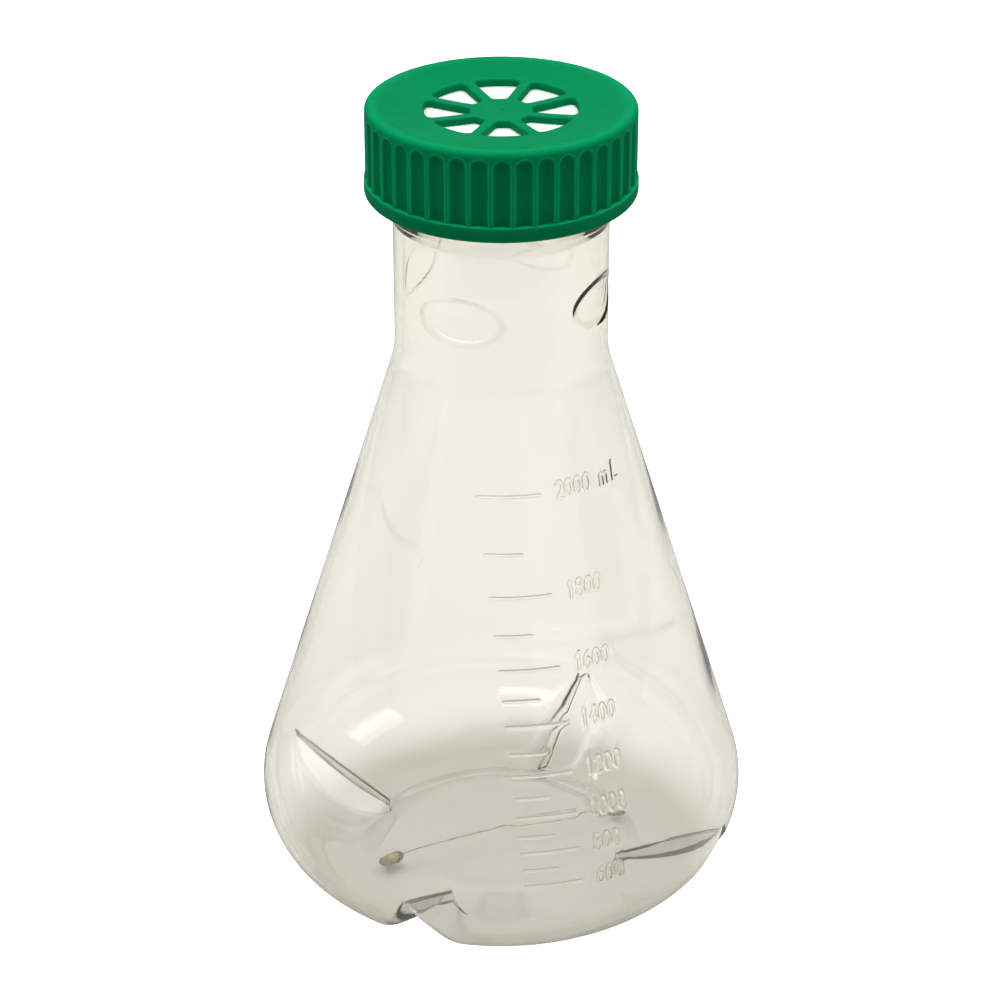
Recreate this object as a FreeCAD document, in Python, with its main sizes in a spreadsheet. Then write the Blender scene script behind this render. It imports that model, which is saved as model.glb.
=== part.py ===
import FreeCAD, Part
import os
import Sketcher

# Baffled two-litre shaker flask with a vented screw cap.
# Millimetres, +Z up, origin at the centre of the foot ring, graduations facing -Y.

V = FreeCAD.Vector
Z_AXIS = V(0, 0, 1)

DIMENSIONS = {
    # flask outline
    "wall": 2.0,
    "heel_centre_radius": 48.7,
    "heel_radius": 32.8,
    "cone_angle": 17.0,
    "neck_radius": 34.2,
    "neck_blend_radius": 32.5,
    "flare_start_height": 239.0,
    "flare_end_height": 244.0,
    "finish_radius": 36.4,
    "rim_height": 271.3,
    "foot_inner_radius": 48.0,
    "panel_radius": 37.0,
    "panel_edge_height": 6.2,
    "panel_centre_height": 7.2,
    # baffles pressed in at the heel
    "baffle_inner_radius": 43.0,
    "baffle_inner_height": 8.0,
    "baffle_slope": 28.7,
    "baffle_half_angle": 36.0,
    "baffle_length": 60.0,
    "baffle_depth": 34.0,
    # flattened grips on the neck
    "grip_height": 214.8,
    "grip_depth": 0.8,
    "grip_flat_radius": 46.3,
    "grip_dish_radius": 37.4,
    # screw thread
    "thread_pitch": 5.0,
    "thread_depth": 1.8,
    "thread_root_width": 2.4,
    "thread_crest_width": 1.0,
    "thread_overlap": 0.4,
    "neck_thread_height": 252.4,
    "neck_thread_rise": 12.0,
    "cap_thread_height": 250.4,
    "cap_thread_rise": 11.0,
    # cap
    "cap_bottom": 246.4,
    "cap_top": 275.7,
    "cap_bore_radius": 38.9,
    "band_radius": 43.0,
    "band_height": 5.2,
    "band_edge_radius": 1.6,
    "grip_band_radius": 42.5,
    "shoulder_radius": 2.0,
    "dish_edge_radius": 38.5,
    "dish_sphere_radius": 286.4,
    "lid_thickness": 2.3,
    "seat_height": 272.9,
    "seat_inner_radius": 31.0,
    "flute_radius": 3.9,
    "flute_depth": 1.3,
    "flute_top_height": 274.4,
    "flute_count": 39,
    "flute_phase": 8.25,
    # vent
    "window_outer_radius": 24.0,
    "window_hub_radius": 9.8,
    "window_corner_radius": 1.6,
    "window_phase": 26.0,
    "spoke_width": 3.6,
    "vent_disc_radius": 27.5,
    "membrane_thickness": 0.3,
    "backing_thickness": 0.6,
    # seal
    "seal_inner_radius": 32.6,
    "seal_outer_radius": 38.2,
    "seal_thickness": 1.5,
    # moulded graduations
    "mark_height": 0.35,
    "mark_root": 0.5,
    "mark_stroke": 0.8,
    "mark_left": -22.9,
    "long_mark_width": 18.3,
    "short_mark_width": 10.7,
    "numeral_left": 0.9,
    "numeral_drop": 2.1,
    "numeral_height": 5.4,
    "numeral_width": 2.2,
    "numeral_pitch": 3.3,
}

# Height of each graduation above the foot ring, keyed by its volume in millilitres.
GRADUATIONS = {
    2000: 160.8, 1900: 143.0, 1800: 129.7, 1700: 117.8, 1600: 107.0,
    1500: 97.5, 1400: 89.5, 1300: 80.8, 1200: 73.9, 1100: 66.8,
    1000: 60.7, 900: 54.5, 800: 49.3, 700: 43.9, 600: 38.7,
}
QUARTER_ANGLES = (45, 135, 225, 315)
SPOKE_ANGLES = (0, 45, 90, 135)

doc = FreeCAD.newDocument("shaker_flask")


def make_sheet():
    sheet = doc.addObject("Spreadsheet::Sheet", "dims")
    for row, (name, value) in enumerate(DIMENSIONS.items(), start=1):
        sheet.set(f"A{row}", name)
        sheet.set(f"B{row}", str(value))
        sheet.setAlias(f"B{row}", name)
    doc.recompute()
    return sheet


dims = make_sheet()


def size(name):
    return float(getattr(dims, name))


def bind(obj, **expressions):
    for prop, expression in expressions.items():
        obj.setExpression(prop, expression)
    return obj


def place(obj, position=None, axis=None, angle=None):
    """Bind an object's Placement: position is three expressions, angle one in degrees."""
    for letter, expression in zip("xyz", position or ()):
        obj.setExpression(f"Placement.Base.{letter}", expression)
    if axis is not None:
        obj.Placement = FreeCAD.Placement(obj.Placement.Base, FreeCAD.Rotation(axis, 0))
        for letter, part in zip("xyz", axis):
            obj.setExpression(f"Placement.Rotation.Axis.{letter}", str(part))
        obj.setExpression("Placement.Rotation.Angle", angle)
    return obj


# ---------------------------------------------------------------- sketches and revolved bodies

def draw_outline(sketch, corners):
    """Close an outline through corners of (x, y, bulge) expressions.

    bulge is None for a straight side to the next corner, or (radius, turn) for an arc to it,
    where turn is +1 counter-clockwise and -1 clockwise.
    """
    def value(expression):
        return float(sketch.evalExpression(expression))

    points = [V(value(x), value(y), 0) for x, y, _ in corners]
    for index, (_, _, bulge) in enumerate(corners):
        start, end = points[index], points[(index + 1) % len(points)]
        if bulge is None:
            sketch.addGeometry(Part.LineSegment(start, end))
        else:
            sketch.addGeometry(arc_between(start, end, value(bulge[0]), bulge[1]))
    for index, (x, y, bulge) in enumerate(corners):
        previous = (index - 1) % len(corners)
        starts = 2 if corners[index][2] and corners[index][2][1] < 0 else 1
        ends = 1 if corners[previous][2] and corners[previous][2][1] < 0 else 2
        sketch.addConstraint(Sketcher.Constraint("Coincident", previous, ends, index, starts))
        hold(sketch, "DistanceX", index, starts, x, points[index].x)
        hold(sketch, "DistanceY", index, starts, y, points[index].y)
        if bulge is not None:
            row = sketch.addConstraint(Sketcher.Constraint("Radius", index, value(bulge[0])))
            sketch.setExpression(f"Constraints[{row}]", bulge[0])


def arc_between(start, end, radius, turn):
    chord = end - start
    half = chord.Length / 2
    normal = V(-chord.y, chord.x, 0).normalize() * turn
    centre = start + chord / 2 + normal * (radius ** 2 - half ** 2) ** 0.5
    middle = centre - normal * radius
    return Part.Arc(start, middle, end)


def hold(sketch, kind, edge, end, expression, value):
    if abs(value) < 1e-9:
        axis = -2 if kind == "DistanceX" else -1
        sketch.addConstraint(Sketcher.Constraint("PointOnObject", edge, end, axis))
        return
    row = sketch.addConstraint(Sketcher.Constraint(kind, -1, 1, edge, end, value))
    sketch.setExpression(f"Constraints[{row}]", expression)


def origin_part(body, role):
    return next(f for f in body.Origin.OriginFeatures if f.Role == role)


def revolved_body(name, corners):
    body = doc.addObject("PartDesign::Body", name)
    sketch = body.newObject("Sketcher::SketchObject", name + "_outline")
    sketch.AttachmentSupport = [(origin_part(body, "XZ_Plane"), "")]
    sketch.MapMode = "FlatFace"
    doc.recompute()
    draw_outline(sketch, corners)
    turned = body.newObject("PartDesign::Revolution", name + "_turned")
    turned.Profile = sketch
    turned.ReferenceAxis = (sketch, ["V_Axis"])
    turned.Angle = 360
    sketch.Visibility = False
    doc.recompute()
    return body


# ---------------------------------------------------------------- booleans

def cut(name, base, tools):
    tool = tools[0] if len(tools) == 1 else gather(name + "_tools", tools)
    result = doc.addObject("Part::Cut", name)
    result.Base = base
    result.Tool = tool
    result.Refine = False
    doc.recompute()
    return result


def gather(name, shapes):
    joined = doc.addObject("Part::MultiFuse", name)
    joined.Shapes = shapes
    joined.Refine = False
    doc.recompute()
    return joined


# ---------------------------------------------------------------- flask

def skin_corners(offset):
    """Half outline of the flask, moved inwards by the expression offset."""
    cosine = "cos(dims.cone_angle * 1 deg)"
    sine = "sin(dims.cone_angle * 1 deg)"
    heel = f"(dims.heel_radius - {offset})"
    blend = f"(dims.neck_blend_radius + {offset})"
    blend_centre = "(dims.neck_radius + dims.neck_blend_radius)"
    cone_reach = f"(dims.heel_centre_radius * {cosine} + dims.heel_radius * {sine} + dims.heel_radius)"
    blend_height = f"(({cone_reach} + dims.neck_blend_radius - {blend_centre} * {cosine}) / {sine})"
    neck = f"dims.neck_radius - {offset}"
    finish = f"dims.finish_radius - {offset}"
    return [
        ("0", f"dims.panel_centre_height + {offset}", None),
        (f"dims.panel_radius - {offset} / 2", f"dims.panel_edge_height + {offset}", None),
        (f"dims.foot_inner_radius - {offset} / 2", f"{offset}", None),
        ("dims.heel_centre_radius", f"{offset}", (heel, 1)),
        (f"dims.heel_centre_radius + {heel} * {cosine}", f"dims.heel_radius + {heel} * {sine}", None),
        (f"{blend_centre} - {blend} * {cosine}", f"{blend_height} - {blend} * {sine}", (blend, -1)),
        (neck, blend_height, None),
        (neck, "dims.flare_start_height", None),
        (finish, "dims.flare_end_height", None),
        (finish, "dims.rim_height", None),
        ("0", "dims.rim_height", None),
    ]


def baffle_wedge(name, angle, offset):
    """A roof-shaped wedge whose ridge climbs outwards from the base panel to the wall."""
    rise = f"({offset} / sin(dims.baffle_half_angle * 1 deg))"
    slope = "dims.baffle_slope * 1 deg"
    half_width = f"((dims.baffle_depth + {rise}) * tan(dims.baffle_half_angle * 1 deg))"
    wedge = doc.addObject("Part::Wedge", name)
    bind(wedge,
         Xmin=f"-{half_width}", Xmax=half_width, X2min="0", X2max="0",
         Ymin=f"-(dims.baffle_depth)", Ymax=rise,
         Zmin="-dims.baffle_depth", Zmax="dims.baffle_length",
         Z2min="0", Z2max="dims.baffle_length")
    # local Z runs outwards along the ridge and local Y away from the valley
    place_at = (f"vector(dims.baffle_inner_radius * sin({angle} deg);"
                f" 0 - dims.baffle_inner_radius * cos({angle} deg); dims.baffle_inner_height)")
    turn = f"rotation(vector(0; 0; 1); {angle} deg) * rotation(vector(1; 0; 0); 90 deg - {slope})"
    bind(wedge, Placement=f"placement({place_at}; {turn})")
    return wedge


def grip_ring(name, angle, offset):
    """A large ring whose inner face flattens the neck over an oval."""
    ring = doc.addObject("Part::Torus", name)
    reach = "(dims.neck_radius - dims.grip_depth - dims.grip_flat_radius)"
    bind(ring,
         Radius1=f"dims.grip_flat_radius + dims.grip_dish_radius",
         Radius2=f"dims.grip_dish_radius + {offset}")
    place(ring, (f"{reach} * sin({angle} deg)", f"-{reach} * cos({angle} deg)", "dims.grip_height"))
    return ring


def flask_skin(name, offset):
    blank = revolved_body(name + "_blank", skin_corners(offset))
    wedges = [baffle_wedge(f"{name}_baffle_{a}", a, offset) for a in QUARTER_ANGLES]
    rings = [grip_ring(f"{name}_grip_{a}", a, offset) for a in QUARTER_ANGLES]
    doc.recompute()
    baffled = cut(name + "_baffled", blank, wedges)
    for angle, ring in zip(QUARTER_ANGLES, rings):
        baffled = cut(f"{name}_gripped_{angle}", baffled, [ring])
    return baffled


def screw_ridge(name, root_radius, depth, height, rise):
    """A helical ridge standing depth proud of root_radius; a negative depth points inwards."""
    path = doc.addObject("Part::Helix", name + "_path")
    bind(path, Pitch="dims.thread_pitch", Height=rise, Radius=root_radius)
    place(path, ("0", "0", height))
    section = doc.addObject("Sketcher::SketchObject", name + "_section")
    section.Placement = FreeCAD.Placement(V(), FreeCAD.Rotation(V(1, 0, 0), 90))
    doc.recompute()
    sunk = f"{root_radius} - dims.thread_overlap * ({depth}) / abs({depth})"
    crest = f"{root_radius} + {depth}"
    draw_outline(section, [
        (sunk, f"{height} - dims.thread_root_width / 2", None),
        (crest, f"{height} - dims.thread_crest_width / 2", None),
        (crest, f"{height} + dims.thread_crest_width / 2", None),
        (sunk, f"{height} + dims.thread_root_width / 2", None),
    ])
    ridge = doc.addObject("Part::Sweep", name)
    ridge.Sections = [section]
    ridge.Spine = (path, [])
    ridge.Solid = True
    ridge.Frenet = True
    doc.recompute()
    return ridge


# ---------------------------------------------------------------- moulded graduations

def line_stroke(points):
    """A bent bar of even width with round ends and joints."""
    half = size("mark_stroke") / 2
    corners = [V(x, y, 0) for x, y in points]
    faces = [Part.Face(Part.Wire(Part.makeCircle(half, corner))) for corner in corners]
    for start, end in zip(corners, corners[1:]):
        side = (end - start).cross(Z_AXIS).normalize() * half
        outline = Part.makePolygon([start + side, end + side, end - side, start - side, start + side])
        faces.append(Part.Face(outline))
    return faces[0].multiFuse(faces[1:]).removeSplitter()


def ring_stroke(centre, across, up):
    """An elliptical ring whose centre line has the half sizes across and up."""
    def disc(change):
        reach = (across + change, up + change)
        turned = reach[1] > reach[0]
        oval = Part.Ellipse(V(), max(reach), min(reach)).toShape()
        face = Part.Face(Part.Wire(oval))
        if turned:
            face.rotate(V(), Z_AXIS, 90)
        face.translate(V(centre[0], centre[1], 0))
        return face

    half = size("mark_stroke") / 2
    return disc(half).cut(disc(-half))


def glyph_strokes(letter, wide, tall):
    """Faces of one character whose centre lines fill a box wide by tall."""
    def route(*points):
        return line_stroke([(x * wide, y * tall) for x, y in points])

    def ring(x, y, across, up):
        return ring_stroke((x * wide, y * tall), across * wide, up * tall)

    if letter == "0":
        return [ring(0.5, 0.5, 0.5, 0.5)]
    if letter == "1":
        return [route((0.3, 0.8), (0.6, 1), (0.6, 0))]
    if letter == "2":
        return [route((0, 0.75), (0.15, 0.93), (0.5, 1), (0.85, 0.93), (1, 0.75), (0.85, 0.5), (0, 0), (1, 0))]
    if letter == "4":
        return [route((0.72, 0), (0.72, 1), (0, 0.3), (1, 0.3))]
    if letter == "6":
        return [ring(0.5, 0.3, 0.5, 0.3), route((0.02, 0.36), (0.2, 0.75), (0.7, 1))]
    if letter == "8":
        return [ring(0.5, 0.27, 0.5, 0.27), ring(0.5, 0.77, 0.42, 0.23)]
    if letter == "m":
        return [
            route((0, 0), (0, 0.62)),
            route((0, 0.5), (0.3, 0.62), (0.65, 0.55), (0.7, 0)),
            route((0.7, 0.45), (1, 0.62), (1.35, 0.55), (1.4, 0)),
        ]
    return [route((0, 1), (0, 0), (0.9, 0))]


def text_prisms(text, left, height):
    """Characters drawn on the XZ plane and pushed out along -Y."""
    prisms = []
    across = left
    for letter in text:
        if letter != " ":
            faces = glyph_strokes(letter, size("numeral_width"), size("numeral_height"))
            face = faces[0].multiFuse(faces[1:]).removeSplitter() if faces[1:] else faces[0]
            prisms.append(stand_up(face, across, height))
        across += (1.6 if letter == "m" else 1) * size("numeral_pitch")
    return prisms


def stand_up(face, across, height):
    face = face.copy()
    face.rotate(V(), V(1, 0, 0), 90)
    face.translate(V(across, 0, height))
    return face.extrude(V(0, -2 * size("heel_centre_radius"), 0))


def graduation_prisms():
    prisms = []
    for volume, height in GRADUATIONS.items():
        numbered = volume % 200 == 0
        width = size("long_mark_width") if numbered else size("short_mark_width")
        bar = line_stroke([(0, 0), (width, 0)])
        prisms.append(stand_up(bar, size("mark_left"), height))
        if numbered:
            text = f"{volume} mL" if volume == max(GRADUATIONS) else str(volume)
            prisms += text_prisms(text, size("numeral_left"), height - size("numeral_drop"))
    return prisms


def graduations():
    """Every bar and numeral, trimmed to a thin layer that follows the flask's wall."""
    raised = revolved_body("mark_crest", skin_corners("(0 - dims.mark_height)"))
    sunk = revolved_body("mark_root", skin_corners("dims.mark_root"))
    layer = cut("mark_layer", raised, [sunk])
    marks = doc.addObject("Part::Feature", "marks")
    marks.Shape = Part.makeCompound([layer.Shape.common(p) for p in graduation_prisms()])
    return marks


def flask_body():
    shell = cut("flask_shell", flask_skin("outer", "0"), [flask_skin("inner", "dims.wall")])
    thread = screw_ridge("neck_thread", "dims.finish_radius", "dims.thread_depth",
                         "dims.neck_thread_height", "dims.neck_thread_rise")
    body = gather("flask_body", [shell, thread, graduations()])
    body.Label = "flask_body"
    return body


# ---------------------------------------------------------------- cap

def dish_height(radius, below):
    """Height expression of the dished lid at a radius, measured below its top surface."""
    drop = f"sqrt(pow(dims.dish_sphere_radius + {below}; 2) - pow({radius}; 2))"
    edge = "sqrt(pow(dims.dish_sphere_radius; 2) - pow(dims.dish_edge_radius; 2))"
    return f"dims.cap_top + {edge} - {drop}"


def cap_blank():
    ledge = "dims.cap_bottom + dims.band_height"
    dish = "dims.dish_sphere_radius"
    return revolved_body("cap_blank", [
        ("0", dish_height("0", "dims.lid_thickness"), (f"{dish} + dims.lid_thickness", 1)),
        ("dims.seat_inner_radius", dish_height("dims.seat_inner_radius", "dims.lid_thickness"), None),
        ("dims.seat_inner_radius", "dims.seat_height", None),
        ("dims.cap_bore_radius", "dims.seat_height", None),
        ("dims.cap_bore_radius", "dims.cap_bottom", None),
        ("dims.band_radius - dims.band_edge_radius", "dims.cap_bottom", ("dims.band_edge_radius", 1)),
        ("dims.band_radius", "dims.cap_bottom + dims.band_edge_radius", None),
        ("dims.band_radius", ledge, None),
        ("dims.grip_band_radius", ledge, None),
        ("dims.grip_band_radius", "dims.cap_top - dims.shoulder_radius", ("dims.shoulder_radius", 1)),
        ("dims.grip_band_radius - dims.shoulder_radius", "dims.cap_top", None),
        ("dims.dish_edge_radius", "dims.cap_top", (dish, -1)),
        ("0", dish_height("0", "0"), None),
    ])


def add_flutes(body):
    """Round-topped finger flutes, each a groove turned about an upright line outside the wall."""
    sketch = body.newObject("Sketcher::SketchObject", "flute_outline")
    sketch.AttachmentSupport = [(origin_part(body, "XZ_Plane"), "")]
    sketch.MapMode = "FlatFace"
    doc.recompute()
    axis = "dims.grip_band_radius - dims.flute_depth + dims.flute_radius"
    near = "dims.grip_band_radius - dims.flute_depth"
    ledge = "dims.cap_bottom + dims.band_height"
    draw_outline(sketch, [
        (axis, ledge, None),
        (axis, "dims.flute_top_height", ("dims.flute_radius", 1)),
        (near, "dims.flute_top_height - dims.flute_radius", None),
        (near, ledge, None),
    ])
    sketch.addGeometry(Part.LineSegment(V(1, 0, 0), V(1, 1, 0)), True)
    spin_line = sketch.GeometryCount - 1
    hold(sketch, "DistanceX", spin_line, 1, axis, float(sketch.evalExpression(axis)))
    sketch.addConstraint(Sketcher.Constraint("Vertical", spin_line))
    groove = body.newObject("PartDesign::Groove", "flute")
    groove.Profile = sketch
    groove.ReferenceAxis = (sketch, ["Axis0"])
    groove.Angle = 360
    sketch.Visibility = False
    doc.recompute()
    ring = body.newObject("PartDesign::PolarPattern", "flutes")
    ring.Originals = [groove]
    ring.Axis = (origin_part(body, "Z_Axis"), [""])
    ring.Angle = 360
    bind(ring, Occurrences="dims.flute_count")
    body.Tip = ring
    place(body, axis=Z_AXIS, angle="dims.flute_phase")
    doc.recompute()
    return body


def disc(name, radius, height, bottom):
    cylinder = doc.addObject("Part::Cylinder", name)
    bind(cylinder, Radius=radius, Height=height)
    place(cylinder, ("0", "0", bottom))
    return cylinder


def window_blanks():
    """Eight sector-shaped blanks with rounded corners, left between four crossed bars."""
    bottom = "dims.cap_bottom + dims.band_height"
    tall = "dims.cap_top - dims.cap_bottom"
    outer = disc("window_ring", "dims.window_outer_radius", tall, bottom)
    tools = [disc("window_hub", "dims.window_hub_radius", tall, bottom)]
    for angle in SPOKE_ANGLES:
        bar = doc.addObject("Part::Box", f"spoke_{angle}")
        turn = f"dims.window_phase + {angle + 22.5}"
        bind(bar, Length="dims.window_outer_radius * 3", Width="dims.spoke_width", Height=tall)
        along, half = "dims.window_outer_radius * 1.5", "dims.spoke_width / 2"
        place(bar, axis=Z_AXIS, angle=turn)
        place(bar, (f"-{along} * cos(({turn}) * 1 deg) + {half} * sin(({turn}) * 1 deg)",
                   f"-{along} * sin(({turn}) * 1 deg) - {half} * cos(({turn}) * 1 deg)", bottom))
        tools.append(bar)
    doc.recompute()
    sectors = cut("window_sectors", outer, tools)
    rounded = doc.addObject("Part::Fillet", "window_blanks")
    rounded.Base = sectors
    corner = size("window_corner_radius")
    rounded.Edges = [(number, corner, corner) for number, edge in enumerate(sectors.Shape.Edges, start=1)
                     if edge.BoundBox.ZLength > size("lid_thickness")]
    doc.recompute()
    return rounded


def cap_shell():
    vented = cut("cap_vented", add_flutes(cap_blank()), [window_blanks()])
    thread = screw_ridge("cap_thread", "dims.cap_bore_radius", "-dims.thread_depth",
                         "dims.cap_thread_height", "dims.cap_thread_rise")
    shell = gather("cap_shell", [vented, thread])
    shell.Label = "cap_shell"
    return shell


# ---------------------------------------------------------------- vent and seal

def vent_disc(name, top, thickness):
    """A thin disc that follows the dished underside of the lid."""
    lower = f"({top} + {thickness})"
    edge = "dims.vent_disc_radius"
    body = revolved_body(name, [
        ("0", dish_height("0", lower), (f"dims.dish_sphere_radius + {lower}", 1)),
        (edge, dish_height(edge, lower), None),
        (edge, dish_height(edge, top), (f"dims.dish_sphere_radius + {top}", -1)),
        ("0", dish_height("0", top), None),
    ])
    body.Label = name
    return body


def seal_ring():
    bottom = "dims.seat_height - dims.seal_thickness"
    whole = disc("seal_disc", "dims.seal_outer_radius", "dims.seal_thickness", bottom)
    hole = disc("seal_hole", "dims.seal_inner_radius", "dims.seal_thickness", bottom)
    ring = cut("seal_ring", whole, [hole])
    ring.Label = "seal_ring"
    return ring


def check_document():
    for obj in doc.Objects:
        if "Invalid" in obj.State or "Error" in obj.State:
            raise RuntimeError(f"{obj.Label}: {obj.State}")


def write_parts(parts):
    os.makedirs("parts", exist_ok=True)
    for part in parts:
        if part.Shape.isNull() or not part.Shape.isValid():
            raise RuntimeError(f"{part.Label} has no valid shape")
        part.Shape.exportStep(f"parts/{part.Label}.step")
        print(part.Label, len(part.Shape.Solids), "solid", round(part.Shape.Volume / 1000, 2), "cm3")


parts = [
    flask_body(),
    cap_shell(),
    vent_disc("vent_membrane", "dims.lid_thickness", "dims.membrane_thickness"),
    vent_disc("membrane_backing", "(dims.lid_thickness + dims.membrane_thickness)", "dims.backing_thickness"),
    seal_ring(),
]
doc.recompute()
check_document()
write_parts(parts)
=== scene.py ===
import bpy
from math import atan2, ceil, copysign, cos, hypot, pi, radians, sin, sqrt, tan
import numpy as np
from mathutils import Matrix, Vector
from mathutils.geometry import delaunay_2d_cdt


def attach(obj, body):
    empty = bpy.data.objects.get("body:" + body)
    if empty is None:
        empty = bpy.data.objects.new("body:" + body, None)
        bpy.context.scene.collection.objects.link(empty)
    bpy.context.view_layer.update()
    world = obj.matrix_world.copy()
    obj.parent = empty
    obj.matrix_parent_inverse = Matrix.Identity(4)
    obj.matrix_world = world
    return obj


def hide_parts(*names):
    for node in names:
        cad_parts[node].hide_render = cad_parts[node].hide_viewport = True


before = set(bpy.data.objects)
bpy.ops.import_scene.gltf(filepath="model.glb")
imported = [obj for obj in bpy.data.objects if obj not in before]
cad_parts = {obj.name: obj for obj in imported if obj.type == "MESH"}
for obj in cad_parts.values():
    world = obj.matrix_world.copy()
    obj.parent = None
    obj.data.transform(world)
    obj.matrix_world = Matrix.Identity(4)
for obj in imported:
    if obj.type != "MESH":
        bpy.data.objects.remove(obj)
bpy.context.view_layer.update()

MM = 0.001

# -------------------- sizes in millimetres
# The flask's outline, base and wall.
CONE_ANGLE = radians(17.0)
CONE_AT_FOOT = 93.03
WALL = 2.0
HEEL_ROUNDING = 32.8
NECK_ROUNDING = 32.5
NECK_RADIUS = 34.2
FINISH_RADIUS = 36.4
FLARE = (238.0, 244.5)
RIM_HEIGHT, RIM_ROUNDING = 271.3, 0.8
PANEL_HEIGHT, PANEL_SAG = 7.2, 1.0
PANEL_EDGE = (33.0, 54.0)
BASE_THINNING = 1.1
NECK_THICKENING = 0.8
FOOT_RADIUS = 48.7

# The parting line, and a lump of plastic at each of its ends: reach, turn and half sizes.
PINCH = (40.5, 43.5)
LEFT_LUMP = (-PINCH[0], 0.35, (5.2, 3.0, 1.8))
RIGHT_LUMP = (PINCH[1], 0.0, (3.4, 1.8, 1.1))
FLASH_HALF_WIDTH, FLASH_DEPTH = 0.22, 0.25

# The grooves pressed into the heel, and the rods of painted shade that stand for the dark fold inside
# each.
QUARTERS = [radians(a) for a in (45, 135, 225, 315)]
RIDGE_START = (43.0, 8.0)
RIDGE_SLOPE = radians(28.7)
RIDGE_HALF_ANGLE = radians(36.0)
RIDGE_LIP = 7.0
RIDGE_WALL = 0.3
CREASE_LENGTH = 41.0
CREASE_LIFT = 0.45
CREASE_RADIUS = 0.36

# The neck's four grips and the thread.
GRIP_HEIGHT = 214.8
GRIP_DEPTH = 0.8
GRIP_FLAT_RADIUS = 46.3
GRIP_DISH_RADIUS = 37.4
GRIP_OVAL = (radians(24.4), 7.7)
GRIP_STEP = 0.34
GRIP_ROWS = 10.0
THREAD_PITCH = 5.0
THREAD_DEPTH = 1.8
NECK_THREAD = (252.4, 12.0)
CAP_THREAD = (250.4, 11.0)

# The plastic's painted light, from 0 for a pale painted highlight to 1 for a brown painted shade, and how
# far each feature moves it.
NO_PAINTED_LIGHT = 0.5
GRIP_SHADE, FLARE_SHADE = 0.1, 0.16
UPPER_EDGE_SHADE, LOWER_EDGE_HIGHLIGHT = 0.42, 0.5

# The moulded marks: volume in millilitres and height of each, and the shapes of bars and numerals.
MARK_HEIGHT = 0.45
MARK_CREST = 0.14
MARK_FOOT = 0.74
MARK_LEFT = -22.9
LONG_MARK, SHORT_MARK = 18.3, 10.7
NUMERAL_LEFT, NUMERAL_DROP = 0.9, 2.1
NUMERAL_SIZE = (2.2, 5.4)
NUMERAL_PITCH = 3.3
GRADUATIONS = {
    2000: 160.8, 1900: 143.0, 1800: 129.7, 1700: 117.8, 1600: 107.0,
    1500: 97.5, 1400: 89.5, 1300: 80.8, 1200: 73.9, 1100: 66.8,
    1000: 60.7, 900: 54.5, 800: 49.3, 700: 43.9, 600: 38.7,
}
MARK_WINDOW = (radians(-35), radians(38), 35.0, 167.0)
FLAT_SCALE = 60.0

# The cap.
CAP_BOTTOM, CAP_TOP = 246.4, 275.7
BORE_RADIUS, BAND_RADIUS, GRIP_RADIUS = 38.9, 43.0, 42.5
LEDGE_HEIGHT = 251.6
DISH_EDGE, DISH_SPHERE, DISH_ROUNDING = 38.5, 286.4, 12.0
LID = 2.3
SEAT = (31.0, 272.9)
FLUTES, FLUTE_RADIUS, FLUTE_DEPTH = 39, 3.9, 1.3
FLUTE_TOP = 274.4
FLUTE_PHASE = radians(8.25)
WINDOWS = 8
WINDOW_RADIUS, HUB_RADIUS, SPOKE_HALF = 24.0, 9.8, 1.8
WINDOW_CORNER, WINDOW_EDGE = 1.6, 0.6
UNDER_EDGE = 0.05
WINDOW_PHASE = radians(26.0)
VENT_RING = 26.6

# -------------------- colours, lights and camera, in metres
# The plastic's own clear colour, then the brown of its painted shade and the white of its painted
# highlight.
CLEAR, BROWN_SHADE, PALE_HIGHLIGHT = (0.935, 0.935, 0.938), (0.46, 0.28, 0.12), (1.0, 1.0, 1.0)
FLOOR_GLOW = 0.75
PANEL_REACH = 1.6
TENT_STOPS = ((0.0, (0.6, 0.54, 0.47)), (0.2, (0.66, 0.63, 0.6)), (0.45, 0.88))

# Softboxes seen only in the plastic: degrees from the camera, height, size and power.
REFLECTED_PANELS = [
    ("left_panel", -74, 0.85, (1.7, 1.6), 1.6),
    ("right_panel", 44, 0.85, (1.9, 1.6), 1.8),
    ("left_softbox", -28, 1.0, (1.8, 0.5), 7.4),
    ("right_softbox", 76, 0.95, (0.9, 0.6), 4.0),
]

CAMERA_HEADING = radians(-22)
CAMERA_REACH, CAMERA_HEIGHT = 0.9448, 0.6388
CAMERA_TILT = radians(90 - 27.994)
CAMERA_SENSOR, CAMERA_ZOOM, CAMERA_SHIFT = 36, 3.2533, -0.0012


# -------------------- outlines

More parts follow.
